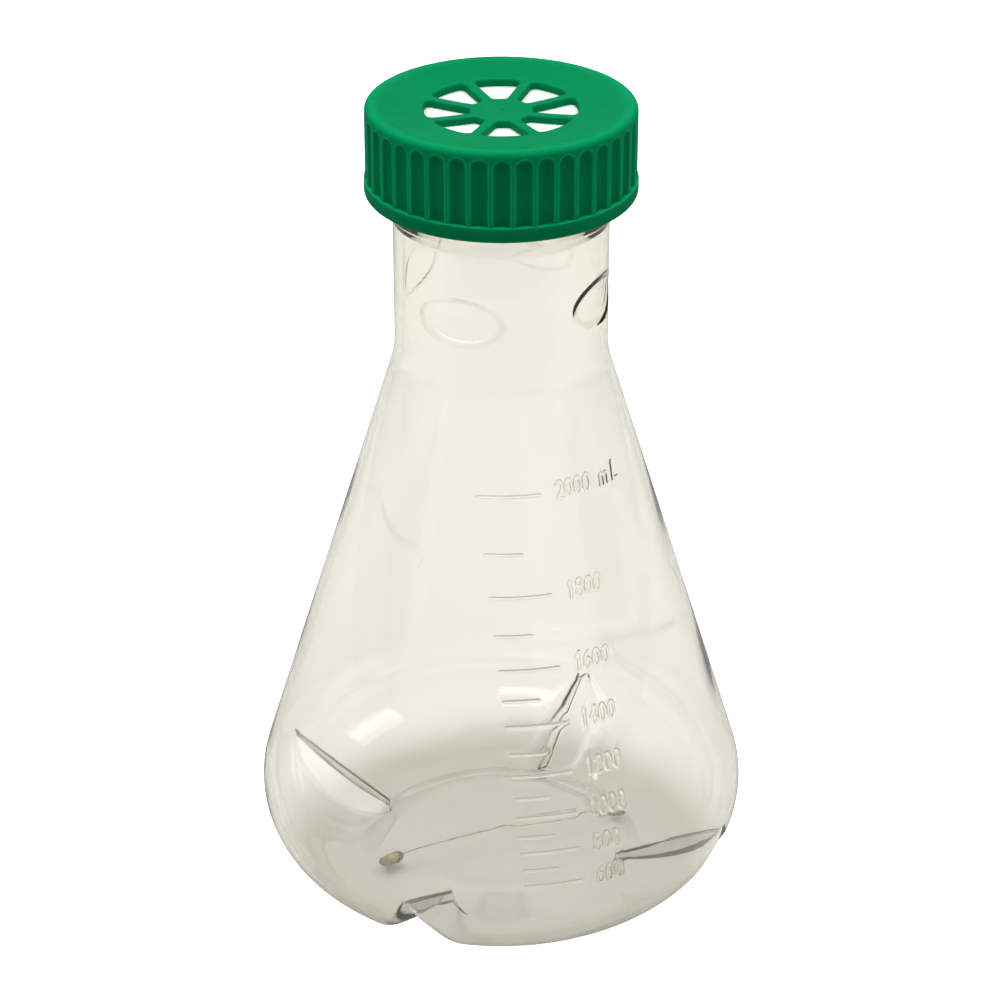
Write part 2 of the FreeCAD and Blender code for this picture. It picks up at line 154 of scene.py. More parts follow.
def rounded_path(corners, turn_step=radians(4), longest=4.0):
    """Points and directions along a path of (x, y, rounding) corners, its roundings drawn as arcs."""
    spots = [np.array(c[:2], float) for c in corners]
    rows = []

    def run(start, end, include_end):
        direction = (end - start) / np.linalg.norm(end - start)
        count = max(1, ceil(np.linalg.norm(end - start) / longest))
        for i in range(count + (1 if include_end else 0)):
            rows.append((start + (end - start) * i / count, direction))

    here = spots[0]
    for i in range(1, len(spots)):
        if i == len(spots) - 1:
            run(here, spots[i], True)
            break
        before = (spots[i] - spots[i - 1]) / np.linalg.norm(spots[i] - spots[i - 1])
        after = (spots[i + 1] - spots[i]) / np.linalg.norm(spots[i + 1] - spots[i])
        turn = atan2(before[0] * after[1] - before[1] * after[0], before @ after)
        rounding = corners[i][2]
        reach = rounding * tan(abs(turn) / 2)
        start = spots[i] - before * reach
        if np.linalg.norm(start - here) > 1e-6:
            run(here, start, False)
        side = copysign(1, turn)
        centre = start + side * rounding * np.array([-before[1], before[0]])
        steps = max(2, ceil(abs(turn) / turn_step))
        for k in range(steps):
            angle = turn * k / steps
            direction = turned(before, angle)
            rows.append((centre - side * rounding * np.array([-direction[1], direction[0]]), direction))
        here = spots[i] + after * reach
    points, directions = zip(*rows)
    return np.array(points), np.array(directions)


def circle(count):
    """Angles evenly spaced round a full turn."""
    return np.linspace(0, 2 * pi, count, endpoint=False)


def travelled(path):
    """Distance along a path to each of its points."""
    return np.concatenate([[0], np.cumsum(np.linalg.norm(np.diff(path, axis=0), axis=1))])


def turned(flat, angle):
    """Flat points turned counter-clockwise about the origin."""
    x, y = flat[..., 0], flat[..., 1]
    c, s = cos(angle), sin(angle)
    return np.stack([x * c - y * s, x * s + y * c], axis=-1)


def pointing(angle):
    """The direction at an angle from +X."""
    return np.array([cos(angle), sin(angle)])


def smooth_step(x):
    x = np.clip(x, 0, 1)
    return x * x * (3 - 2 * x)


def smooth_max(a, b, reach):
    """The greater of two values, rounded where they are closer than reach."""
    share = np.maximum(reach - np.abs(a - b), 0) / reach
    return np.maximum(a, b) + share * share * reach / 4


# -------------------- the flask's wall

def base_height(radius, inset):
    """Height of the pushed-up base, easing down to the standing ring."""
    fall = smooth_step((radius - PANEL_EDGE[0]) / (PANEL_EDGE[1] - PANEL_EDGE[0]))
    return inset + (PANEL_HEIGHT - PANEL_SAG * (radius / PANEL_EDGE[0]) ** 2) * (1 - fall)


def base_thinning(radius, height):
    """How much thinner the wall is at the base."""
    return BASE_THINNING * (1 - smooth_step((radius - 60) / 22)) * smooth_step((30 - height) / 10)


def neck_thickening(height):
    """How much thicker the wall is at the neck."""
    return NECK_THICKENING * smooth_step((height - 170) / 45) * (1 - smooth_step((height - 238) / 10))


def skin_path(inset):
    """The flask's outline from the standing ring to the rim, inset by a wall or by nothing."""
    cone_foot = CONE_AT_FOOT - inset / cos(CONE_ANGLE)
    slope = tan(CONE_ANGLE)
    neck = NECK_RADIUS - inset
    finish = FINISH_RADIUS - inset
    return [
        (FOOT_RADIUS, inset, 0),
        (cone_foot - inset * slope, inset, HEEL_ROUNDING - inset),
        (neck, (cone_foot - neck) / slope, NECK_ROUNDING + inset),
        (neck, FLARE[0], 2.5),
        (finish, FLARE[1], 1.5),
        (finish, RIM_HEIGHT - RIM_ROUNDING, 0),
    ]


def thread_bulge(x_angle, height, thread):
    """How far a one-start right-handed ridge stands out, from 0 to 1, at each point."""
    start, rise = thread
    last = 2 * pi * rise / THREAD_PITCH
    angle = np.mod(x_angle, 2 * pi)
    best = np.zeros_like(height)
    for lap in range(4):
        along = angle + 2 * pi * lap
        off = np.abs(height - start - THREAD_PITCH * along / (2 * pi))
        ends = smooth_step(along / 0.6) * smooth_step((last - along) / 0.6)
        best = np.maximum(best, smooth_step((1.3 - off) / 0.9) * ends)
    return best


def turn_from(quarter, theta):
    """How far round each angle lies from a quarter's middle."""
    return np.mod(theta - quarter + pi, 2 * pi) - pi


def gripped(radius, height, theta, inset):
    """Flatten the neck over four ovals."""
    ring = GRIP_FLAT_RADIUS + GRIP_DISH_RADIUS
    off = np.clip(np.abs(height - GRIP_HEIGHT), 0, GRIP_DISH_RADIUS - 1)
    reach = ring - np.sqrt((GRIP_DISH_RADIUS + inset) ** 2 - off ** 2)
    centre = NECK_RADIUS - GRIP_DEPTH - GRIP_FLAT_RADIUS
    for quarter in QUARTERS:
        turn = turn_from(quarter, theta)
        flat = centre * np.cos(turn) + np.sqrt(np.maximum(reach ** 2 - (centre * np.sin(turn)) ** 2, 0))
        near = (np.abs(turn) < 1.1) & (off < 20)
        oval = np.sqrt((turn / GRIP_OVAL[0]) ** 2 + (off / GRIP_OVAL[1]) ** 2)
        step = GRIP_STEP * smooth_step((1.06 - oval) / (0.24 if inset else 0.2))
        radius = np.where(near, -smooth_max(-radius, -flat, 0.2) - step, radius)
    return radius


def neck_tint(radius, height, theta):
    """A faint painted brown shade on the step round each grip and on the flare under the finish."""
    tint = np.full_like(theta, NO_PAINTED_LIGHT)
    for quarter in QUARTERS:
        turn = turn_from(quarter, theta)
        oval = np.sqrt((turn / GRIP_OVAL[0]) ** 2 + ((height - GRIP_HEIGHT) / GRIP_OVAL[1]) ** 2)
        edge = smooth_step((0.12 - np.abs(oval - 0.96)) / 0.08)
        tint = np.maximum(tint, NO_PAINTED_LIGHT + GRIP_SHADE * edge)
    flare = smooth_step((height - FLARE[0] + 1) / 3) * smooth_step((FLARE[1] + 2 - height) / 3)
    return np.maximum(tint, NO_PAINTED_LIGHT + FLARE_SHADE * flare)


def baffled(x, y, z, inset):
    """Press four roof-shaped grooves into the heel."""
    for quarter in QUARTERS:
        out = np.array([sin(quarter), -cos(quarter)])
        across = np.abs(x * cos(quarter) + y * sin(quarter))
        radial = x * out[0] + y * out[1]
        east, north = radial - RIDGE_START[0], z - RIDGE_START[1]
        along = east * cos(RIDGE_SLOPE) + north * sin(RIDGE_SLOPE)
        level = north * cos(RIDGE_SLOPE) - east * sin(RIDGE_SLOPE)
        roof = roof_level(across, inset) - 1.6 * np.maximum(-along, 0)
        lip = 0.3 + RIDGE_LIP * smooth_step(across / 9)
        lifted = smooth_max(level, roof, lip)
        change = np.where((radial > 25) & (z < 60), lifted - level, 0)
        x = x - change * sin(RIDGE_SLOPE) * out[0]
        y = y - change * sin(RIDGE_SLOPE) * out[1]
        z = z + change * cos(RIDGE_SLOPE)
    return x, y, z


def roof_level(across, inset):
    """Height of a groove's roof above its fold line, as seen along the fold."""
    rounding = 0.3 if inset else 0.12
    roof = -(np.sqrt(across ** 2 + rounding ** 2) - rounding) / tan(RIDGE_HALF_ANGLE)
    return roof + (RIDGE_WALL / sin(RIDGE_HALF_ANGLE) if inset else 0)


def wall_point(radius, height, theta, inset):
    """A point of the wall for each outline point and angle from -Y towards +X."""
    x_angle = theta - pi / 2
    radius = gripped(radius, height, theta, inset)
    if inset:
        sway = np.sin(3 * theta + height / 13) * np.sin(height / 19 + 2) + np.sin(5 * theta - height / 9)
        height = height - base_thinning(radius, height)
        radius = radius - neck_thickening(height)
        radius = radius + 0.05 * sway * smooth_step((radius - 30) / 10)
    else:
        raised = (height > FLARE[1]) & (radius > FINISH_RADIUS - 1)
        radius = radius + np.where(raised, THREAD_DEPTH * thread_bulge(x_angle, height, NECK_THREAD), 0)
    x = radius * np.sin(theta)
    y = -radius * np.cos(theta)
    return baffled(x, y, height + 0 * theta, inset)


# -------------------- moulded marks

def glyph(letter):
    """Centre lines of one character in a unit box."""
    def oval(x, y, across, up):
        turns = np.linspace(0, 2 * pi, 21)
        return [(x + across * cos(t), y + up * sin(t)) for t in turns]

    shapes = {
        "0": [oval(0.5, 0.5, 0.5, 0.5)],
        "1": [[(0.3, 0.8), (0.6, 1), (0.6, 0)]],
        "2": [[(0, 0.75), (0.15, 0.93), (0.5, 1), (0.85, 0.93), (1, 0.75), (0.85, 0.5), (0, 0), (1, 0)]],
        "4": [[(0.72, 0), (0.72, 1), (0, 0.3), (1, 0.3)]],
        "6": [oval(0.5, 0.3, 0.5, 0.3), [(0.02, 0.36), (0.2, 0.75), (0.7, 1)]],
        "8": [oval(0.5, 0.27, 0.5, 0.27), oval(0.5, 0.77, 0.42, 0.23)],
        "m": [[(0, 0), (0, 0.62)], [(0, 0.5), (0.3, 0.62), (0.65, 0.55), (0.7, 0)],
              [(0.7, 0.45), (1, 0.62), (1.35, 0.55), (1.4, 0)]],
        "L": [[(0, 1), (0, 0), (0.9, 0)]],
    }
    return shapes[letter]


def mark_lines():
    """Every bar and numeral as centre lines in (x, height)."""
    lines = []
    for volume, height in GRADUATIONS.items():
        numbered = volume % 200 == 0
        width = LONG_MARK if numbered else SHORT_MARK
        lines.append([(MARK_LEFT, height), (MARK_LEFT + width, height)])
        if numbered:
            text = f"{volume} mL" if volume == max(GRADUATIONS) else str(volume)
            lines += text_lines(text, NUMERAL_LEFT, height - NUMERAL_DROP)
    return [np.array(line) for line in lines]


def text_lines(text, left, bottom):
    """Centre lines of a row of characters."""
    lines = []
    for letter in text:
        if letter != " ":
            for line in glyph(letter):
                lines.append([(left + x * NUMERAL_SIZE[0], bottom + y * NUMERAL_SIZE[1]) for x, y in line])
        left += (1.6 if letter == "m" else 1) * NUMERAL_PITCH
    return lines


MARK_LINES = mark_lines()
MARK_SEGMENTS = np.array([(a, b) for line in MARK_LINES for a, b in zip(line, line[1:])])


def distance_to_marks(points):
    """Distance from each (x, height) point to the nearest centre line."""
    nearest = np.full(len(points), 99.0)
    for start, end in MARK_SEGMENTS:
        span = end - start
        share = np.clip(((points - start) @ span) / (span @ span), 0, 1)
        nearest = np.minimum(nearest, np.linalg.norm(points - start - share[:, None] * span, axis=1))
    return nearest


def mark_rise(x, height):
    """How far the moulded marks stand out at each (x, height)."""
    near = distance_to_marks(np.column_stack([x, height]))
    return MARK_HEIGHT * smooth_step((MARK_FOOT - near) / (MARK_FOOT - MARK_CREST))


def mark_points(spacing=0.42):
    """Points along and beside every centre line, close enough to carry its raised shape."""
    found = []
    middle = (MARK_CREST + MARK_FOOT) / 2
    for line in MARK_LINES:
        along = travelled(line)
        stops = np.linspace(0, along[-1], max(3, ceil(along[-1] / spacing) + 1))
        path = np.column_stack([np.interp(stops, along, line[:, k]) for k in (0, 1)])
        heading = np.gradient(path, axis=0)
        heading /= np.linalg.norm(heading, axis=1)[:, None]
        side = np.column_stack([-heading[:, 1], heading[:, 0]])
        for off in (0, MARK_CREST, -MARK_CREST, middle, -middle, MARK_FOOT, -MARK_FOOT):
            found.append(path + off * side)
        for end, way in ((0, -1), (-1, 1)):
            for off in (MARK_CREST, middle, MARK_FOOT):
                for turn in (-0.8, 0, 0.8):
                    arm = turned(way * heading[end], turn) * off
                    found.append((path[end] + arm)[None])
    return thinned(np.concatenate(found), 0.13)


def thinned(points, spacing):
    """Drop points closer than spacing to one already kept."""
    kept, cells = [], {}
    for point in points:
        cell = (int(point[0] // spacing), int(point[1] // spacing))
        nearby = [cells.get((cell[0] + i, cell[1] + j)) for i in (-1, 0, 1) for j in (-1, 0, 1)]
        if all(other is None or np.hypot(*(point - other)) >= spacing for other in nearby):
            cells[cell] = point
            kept.append(point)
    return np.array(kept)


# -------------------- mesh building

def loop_edges(first, count):
    return [(first + i, first + (i + 1) % count) for i in range(count)]


def filled(flats, edges):
    """Triangles over flat points: the points, the triangles and the points that each came from."""
    points = [Vector(p) for p in flats]
    found, _, triangles, sources, _, _ = delaunay_2d_cdt(points, edges, [], 0, 1e-7)
    return np.array([tuple(p) for p in found]), triangles, sources


def reuse(numbers, sources, owners):
    """Swap in the vertices that stand along the edges already."""
    for number, came_from in enumerate(sources):
        known = [i for i in came_from if i < len(owners)]
        if known:
            numbers[number] = owners[known[0]]


def new_object(name, data):
    made = bpy.data.objects.new(name, data)
    bpy.context.collection.objects.link(made)
    return made


class Shell:
    """Collects vertices with their normals, and faces, and turns them into one mesh."""

    def __init__(self, tint=NO_PAINTED_LIGHT):
        self.tint = tint
        self.points, self.normals, self.tints, self.faces = [], [], [], []
        self.count = 0

    def add(self, points, normals, tints=None):
        """Take in vertices, and return their numbers."""
        first = self.count
        self.points.append(np.asarray(points, float))
        self.normals.append(np.asarray(normals, float))
        self.tints.append(np.full(len(points), self.tint) if tints is None else np.asarray(tints, float))
        self.count += len(points)
        return np.arange(first, self.count)

    def strip(self, lower, upper, closed=True):
        """Join two rows of vertices with four-sided faces."""
        for i in range(len(lower) if closed else len(lower) - 1):
            j = (i + 1) % len(lower)
            self.faces.append((lower[i], lower[j], upper[j], upper[i]))

    def fan(self, centre, ring, flip=False):
        """Join a closed row of vertices to one in its middle."""
        for i in range(len(ring)):
            a, b = ring[i], ring[(i + 1) % len(ring)]
            self.faces.append((centre, b, a) if flip else (centre, a, b))

    def to_object(self, name):
        mesh = bpy.data.meshes.new(name)
        points = np.concatenate(self.points) * MM
        mesh.from_pydata(points.tolist(), [], [tuple(int(i) for i in face) for face in self.faces])
        mesh.polygons.foreach_set("use_smooth", [True] * len(mesh.polygons))
        normals = np.concatenate(self.normals)
        normals /= np.maximum(np.linalg.norm(normals, axis=1), 1e-9)[:, None]
        mesh.normals_split_custom_set_from_vertices(normals.tolist())
        # Each vertex's painted light, highlight or shade, kept for the material to read.
        mesh.attributes.new("tint", "FLOAT", "POINT").data.foreach_set("value", np.concatenate(self.tints))
        mesh.update()
        return new_object(name, mesh)


def surface_normals(place, radius, height, theta, direction):
    """Normals of a wall given as place(radius, height, theta), by small steps each way."""
    step, turn = 0.02, 0.0004

    def at(along, aside):
        r = radius + along * step * direction[..., 0]
        z = height + along * step * direction[..., 1]
        return np.stack(place(r, z, theta + aside * turn), axis=-1)

    up = at(1, 0) - at(-1, 0)
    across = at(0, 1) - at(0, -1)
    normal = np.cross(across, up)
    return normal / np.maximum(np.linalg.norm(normal, axis=-1), 1e-12)[..., None]


def flask_columns():
    """Angles of the wall's columns, closest together at the baffles."""
    angles = []
    for degrees in np.arange(-180, 180, 0.5):
        off = min(abs((degrees - q + 180) % 360 - 180) for q in (45, 135, 225, 315))
        pitch = 0.5 if off <= 3 else (1 if off <= 28 else 2)
        if (degrees / pitch) % 1 == 0 or off == 0:
            angles.append(degrees)
    return np.radians(np.array(angles))


def base_rows(inset):
    """Rows over the pushed-up base, close together where it turns down."""
    radii = np.concatenate([np.arange(0, 34, 4.0), np.arange(34, FOOT_RADIUS - 0.1, 0.7)])
    slopes = (base_height(radii + 0.01, inset) - base_height(radii - 0.01, inset)) / 0.02
    leans = np.column_stack([np.ones(len(radii)), slopes]) / np.sqrt(1 + slopes ** 2)[:, None]
    return np.column_stack([radii, base_height(radii, inset)]), leans


def upright(points, directions, stretch, radius, heights, way=1.0):
    """Replace a stretch of rows with upright ones at the given heights."""
    first, last = np.flatnonzero(stretch)[[0, -1]]
    middle = np.column_stack([np.full(len(heights), radius), heights])
    points = np.concatenate([points[:first], middle, points[last + 1:]])
    ways = np.tile([0.0, way], (len(middle), 1))
    return points, np.concatenate([directions[:first], ways, directions[last + 1:]])


def flask_rows(inset):
    """The flask's outline, with closer rows over the base, the grips and the outside thread."""
    points, directions = rounded_path(skin_path(inset), radians(3.6), 4.0)
    standing = points[:, 1] < inset + 1
    points[:, 1] += np.where(standing, base_height(points[:, 0], inset) - inset, 0)
    base_points, base_directions = base_rows(inset)
    points = np.concatenate([base_points, points])
    directions = np.concatenate([base_directions, directions])
    grips = np.arange(GRIP_HEIGHT - GRIP_ROWS, GRIP_HEIGHT + GRIP_ROWS + 0.1, 0.8)
    neck = (points[:, 1] >= grips[0] - 0.3) & (points[:, 1] <= grips[-1] + 0.3)
    points, directions = upright(points, directions, neck, NECK_RADIUS - inset, grips)
    if inset:
        return points, directions
    thread = np.arange(FLARE[1] + 4.5, RIM_HEIGHT - 2, 0.6)
    heights = np.append(thread, RIM_HEIGHT - RIM_ROUNDING)
    return upright(points, directions, points[:, 1] >= FLARE[1] + 4, FINISH_RADIUS, heights)


def outer_place(radius, height, theta):
    return wall_point(radius, height, theta, 0)


def inner_place(radius, height, theta):
    return wall_point(radius, height, theta, WALL)


def grid(shell, place, points, directions, columns, outward=1, tint=None):
    """Rows of vertices of a turned wall. Returns their numbers, rows by columns."""
    radius = points[:, 0][:, None] + 0 * columns[None]
    height = points[:, 1][:, None] + 0 * columns[None]
    theta = columns[None] + 0 * radius
    way = directions[:, None, :] + 0 * theta[..., None]
    x, y, z = place(radius, height, theta)
    at = np.stack([x, y, z], axis=-1).reshape(-1, 3)
    normals = outward * surface_normals(place, radius, height, theta, way).reshape(-1, 3)
    tints = tint(radius, height, theta).ravel() if tint else None
    return shell.add(at, normals, tints).reshape(len(points), len(columns))


def marks_place(radius, height, theta):
    """A point of the outer wall, with the moulded marks raised on it."""
    rise = mark_rise(radius * np.sin(theta), height)
    lean_out, lean_up = rise * cos(CONE_ANGLE), rise * sin(CONE_ANGLE)
    return wall_point(radius + lean_out, height + lean_up, theta, 0)


def marks_shade(across, height):
    """Painted brown shade on the marks' sides, and a pale painted highlight on the sides that face down.
    """
    rise = mark_rise(across, height) / MARK_HEIGHT
    fall = (mark_rise(across, height - 0.1) - mark_rise(across, height + 0.1)) / MARK_HEIGHT
    lower = smooth_step(-6 * fall - 0.6)
    side = smooth_step(1 - np.abs(2 * rise - 1))
    return NO_PAINTED_LIGHT + side * (UPPER_EDGE_SHADE * (1 - lower) - LOWER_EDGE_HIGHLIGHT * lower)


def window_edge(first_row, last_row, first_column, last_column):
    """Row and column of every vertex round the marks' window, in order."""
    pairs = [(first_row, c) for c in range(first_column, last_column)]
    pairs += [(r, last_column) for r in range(first_row, last_row)]
    pairs += [(last_row, c) for c in range(last_column, first_column, -1)]
    pairs += [(r, first_column) for r in range(last_row, first_row, -1)]
    return pairs


def window_filling(points, lengths, columns, wall, window):
    """Wall vertices clear of the marks, then the marks' own, on the unrolled wall."""
    inside = np.array([
        (columns[c], lengths[r])
        for r in range(window[0] + 1, window[1])
        for c in range(window[2] + 1, window[3])
    ])
    heights = np.interp(inside[:, 1], lengths[wall], points[wall, 1])
    radii = np.interp(inside[:, 1], lengths[wall], points[wall, 0])
    across = radii * np.sin(inside[:, 0])
    clear = distance_to_marks(np.column_stack([across, heights])) > MARK_FOOT + 0.7
    marks = mark_points()
    radii = np.interp(marks[:, 1], points[wall, 1], points[wall, 0])
    along = np.interp(marks[:, 1], points[wall, 1], lengths[wall])
    marks = np.column_stack([np.arcsin(marks[:, 0] / radii) * FLAT_SCALE, along])
    return np.concatenate([inside[clear] * [FLAT_SCALE, 1], marks])


def marks_patch(shell, rows, points, directions, columns):
    """Fill the window behind the moulded marks with triangles fine enough to carry them."""
    left, right, bottom, top = MARK_WINDOW
    wall = np.flatnonzero((points[:, 1] > bottom) & (points[:, 1] < top) & (points[:, 0] > 40))
    ends = [int(np.searchsorted(columns, angle - 1e-6)) for angle in (left, right)]
    window = (wall[0], wall[-1], *ends)
    lengths = travelled(points)
    edge = window_edge(*window)
    flats = [(columns[c] * FLAT_SCALE, lengths[r]) for r, c in edge]
    flats += list(window_filling(points, lengths, columns, wall, window))
    found, triangles, sources = filled(flats, loop_edges(0, len(edge)))
    theta, along = found[:, 0] / FLAT_SCALE, found[:, 1]
    radius, height = [np.interp(along, lengths, points[:, k]) for k in (0, 1)]
    way = np.column_stack([np.interp(along, lengths, directions[:, k]) for k in (0, 1)])
    at = np.column_stack(marks_place(radius, height, theta))
    normals = surface_normals(marks_place, radius, height, theta, way)
    numbers = shell.add(at, normals, marks_shade(radius * np.sin(theta), height))
    reuse(numbers, sources, [rows[pair] for pair in edge])
    for triangle in triangles:
        shell.faces.append(tuple(numbers[i] for i in triangle))
    return window


def outer_wall(shell, columns):
    """The outside with the marks and the base's middle. Returns its top row."""
    points, directions = flask_rows(0)
    middle, points, directions = points[0], points[1:], directions[1:]
    rows = grid(shell, outer_place, points, directions, columns, tint=neck_tint)
    window = marks_patch(shell, rows, points, directions, columns)
    for r in range(len(rows) - 1):
        for c in range(len(columns)):
            behind = window[0] <= r < window[1] and window[2] <= c < window[3]
            if not behind:
                d = (c + 1) % len(columns)
                shell.faces.append((rows[r][c], rows[r][d], rows[r + 1][d], rows[r + 1][c]))
    pole = shell.add([[0, 0, middle[1]]], [[0, 0, -1]])[0]
    shell.fan(pole, rows[0], flip=True)
    return rows[-1]


def inner_wall(shell, columns):
    """The inside with the floor's middle. Returns its top row."""
    points, directions = flask_rows(WALL)
    rows = grid(shell, inner_place, points[1:], directions[1:], columns, outward=-1)
    for r in range(len(rows) - 1):
        shell.strip(rows[r + 1], rows[r])
    pole = shell.add([[0, 0, points[0][1]]], [[0, 0, 1]])[0]
    shell.fan(pole, rows[0])
    return rows[-1]


def build_flask():
    shell = Shell()
    columns = flask_columns()
    previous = outer_wall(shell, columns)
    inner_top = inner_wall(shell, columns)
    around_x, around_y = np.sin(columns), -np.cos(columns)
    for turn in np.radians([30, 60, 90, 120, 150]):
        radius = FINISH_RADIUS - WALL / 2 + WALL / 2 * cos(turn)
        height = RIM_HEIGHT - RIM_ROUNDING + RIM_ROUNDING * sin(turn)
        level, lean = np.full(len(columns), height), np.full(len(columns), sin(turn))
        ring = np.column_stack([radius * around_x, radius * around_y, level])
        tilt = np.column_stack([cos(turn) * around_x, cos(turn) * around_y, lean])
        numbers = shell.add(ring, tilt)
        shell.strip(previous, numbers)
        previous = numbers
    shell.strip(previous, inner_top)
    return shell.to_object("flask")


# -------------------- the base's parting line

def parting_line():
    """A thin ridge of flash across the underside, between two pinched-off lumps."""
    shell = Shell()
    half, deep = FLASH_HALF_WIDTH, FLASH_DEPTH
    stations = np.linspace(-PINCH[0], PINCH[1], 61)
    levels = base_height(np.abs(stations), 0) + 0.1
    corners = [(-half, 0), (half, 0), (half * 0.4, -deep), (-half * 0.4, -deep)]
    rows = []
    for side, drop in corners:
        at = np.column_stack([stations, np.full(len(stations), side), levels + drop])
        normal = [0, side, -0.3 if drop else 0.1]
        rows.append(shell.add(at, np.tile(normal, (len(stations), 1))))
    for k in range(4):
        shell.strip(rows[k], rows[(k + 1) % 4], closed=False)
    for end in (0, -1):
        ring = [row[end] for row in rows]
        shell.faces.append(tuple(ring[::-1] if end == 0 else ring))
    return shell.to_object("parting_line")


def pinch_lump(name, x, turn, size):
    """A small drop of plastic left where the mould pinched the base shut."""
    shell = Shell()
    rounds = circle(24)
    rows = []
    for up in np.linspace(-pi / 2, pi / 2, 13)[1:-1]:
        across, level = cos(up), np.full(len(rounds), sin(up))
        unit = np.column_stack([across * np.cos(rounds), across * np.sin(rounds), level])
        rows.append(shell.add(lump_point(unit, x, turn, size), unit))
    for lower, upper in zip(rows, rows[1:]):
        shell.strip(lower, upper)
    for sign, ring in ((-1, rows[0]), (1, rows[-1])):
        pole = np.array([[0, 0, float(sign)]])
        shell.fan(shell.add(lump_point(pole, x, turn, size), pole)[0], ring, flip=sign < 0)
    return shell.to_object(name)


def lump_point(unit, x, turn, size):
    """Points of a lump for directions from its middle."""
    flat = turned(unit[:, :2] * size[:2], turn) + [x, 0]
    level = float(base_height(np.array(abs(x)), 0))
    return np.column_stack([flat, level + 0.6 + unit[:, 2] * size[2]])


def groove_creases():
    """Painted shade: four thin dark rods inside the wall, along the fold at the bottom of each groove."""
    shell = Shell()
    rounds = circle(8)
    along = np.linspace(0.4, CREASE_LENGTH, 30)
    for quarter in QUARTERS:
        out = np.array([sin(quarter), -cos(quarter), 0])
        aside = np.array([cos(quarter), sin(quarter), 0])
        climb = out * cos(RIDGE_SLOPE) + np.array([0, 0, sin(RIDGE_SLOPE)])
        lift = np.cross(aside, climb)
        lift *= copysign(1, lift[2])
        start = out * RIDGE_START[0] + np.array([0, 0, RIDGE_START[1]])
        rows = []
        for step in along:
            thin = CREASE_RADIUS * (1 - 0.5 * step / CREASE_LENGTH)
            unit = np.outer(np.cos(rounds), aside) + np.outer(np.sin(rounds), lift)
            rows.append(shell.add(start + step * climb + CREASE_LIFT * lift + thin * unit, unit))
        for lower, upper in zip(rows, rows[1:]):
            shell.strip(lower, upper)
        shell.faces.append(tuple(rows[0][::-1]))
        shell.faces.append(tuple(rows[-1]))
    return shell.to_object("groove_creases")


# -------------------- the cap

def dish(radius, below=0.0):
    """Height of the lid's sagging top, or of the face that lies so far below it."""
    edge = sqrt(DISH_SPHERE ** 2 - DISH_EDGE ** 2)
    return CAP_TOP + edge - np.sqrt((DISH_SPHERE + below) ** 2 - radius ** 2)


def cap_path():
    """The cap's section from under the lid, round the skirt and back over the top."""
    return [
        (VENT_RING, dish(VENT_RING, LID), 0),
        (SEAT[0], dish(SEAT[0], LID), 0.2),
        (SEAT[0], SEAT[1], 0.2),
        (BORE_RADIUS, SEAT[1], 0.8),
        (BORE_RADIUS, CAP_BOTTOM, 0.6),
        (BAND_RADIUS, CAP_BOTTOM, 1.8),
        (BAND_RADIUS, LEDGE_HEIGHT, 0.35),
        (GRIP_RADIUS, LEDGE_HEIGHT, 0.12),
        (GRIP_RADIUS, CAP_TOP, 2.0),
        (DISH_EDGE - 1.5, dish(DISH_EDGE - 1.5), DISH_ROUNDING),
        (VENT_RING, dish(VENT_RING), 0),
    ]


def flute_floor(height, theta):
    """Radius of the flutes' surface, or far outside the cap where there is no flute."""
    axis = GRIP_RADIUS - FLUTE_DEPTH + FLUTE_RADIUS
    pitch = 2 * pi / FLUTES
    turn = np.mod(theta - pi / 2 - FLUTE_PHASE + pitch / 2, pitch) - pitch / 2
    above = np.maximum(height - (FLUTE_TOP - FLUTE_RADIUS), 0)
    bore = np.sqrt(np.maximum(FLUTE_RADIUS ** 2 - above ** 2, 0))
    inside = bore ** 2 - (axis * np.sin(turn)) ** 2
    return np.where(inside > 0, axis * np.cos(turn) - np.sqrt(np.maximum(inside, 0)), axis)


def edge_tint(radius, height, theta):
    """Painted highlight on the lands between the flutes and on the band's upper edge."""
    hollow = flute_floor(height, theta)
    side = (height > LEDGE_HEIGHT + 0.1) & (radius > DISH_EDGE)
    gap = hollow - radius
    land = smooth_step((gap + 0.55) / 0.6) * (1 - 0.75 * smooth_step((gap - 0.25) / 0.5))
    ledge = smooth_step(1 - np.abs(height - LEDGE_HEIGHT) / 0.5) * (radius > GRIP_RADIUS - 0.2)
    return np.where(side, land, ledge)


def fluted(radius, height, theta):
    """Cut the finger flutes into the cap's side."""
    hollow = flute_floor(height, theta)
    reach = smooth_step((height - LEDGE_HEIGHT + 0.02) / 0.2)
    cut_radius = -smooth_max(-radius, -hollow, 0.12)
    on_side = (height > LEDGE_HEIGHT - 0.05) & (radius > DISH_EDGE)
    return np.where(on_side, radius + reach * (cut_radius - radius), radius)


def cap_place(radius, height, theta):
    """A point of the cap for each outline point and angle from -Y towards +X."""
    outside = fluted(radius, height, theta)
    in_bore = (radius < BORE_RADIUS + 0.05) & (height < SEAT[1] - 1)
    bulge = THREAD_DEPTH * thread_bulge(theta - pi / 2, height, CAP_THREAD)
    radius = np.where(in_bore, radius - bulge, outside)
    return radius * np.sin(theta), -radius * np.cos(theta), height + 0 * theta


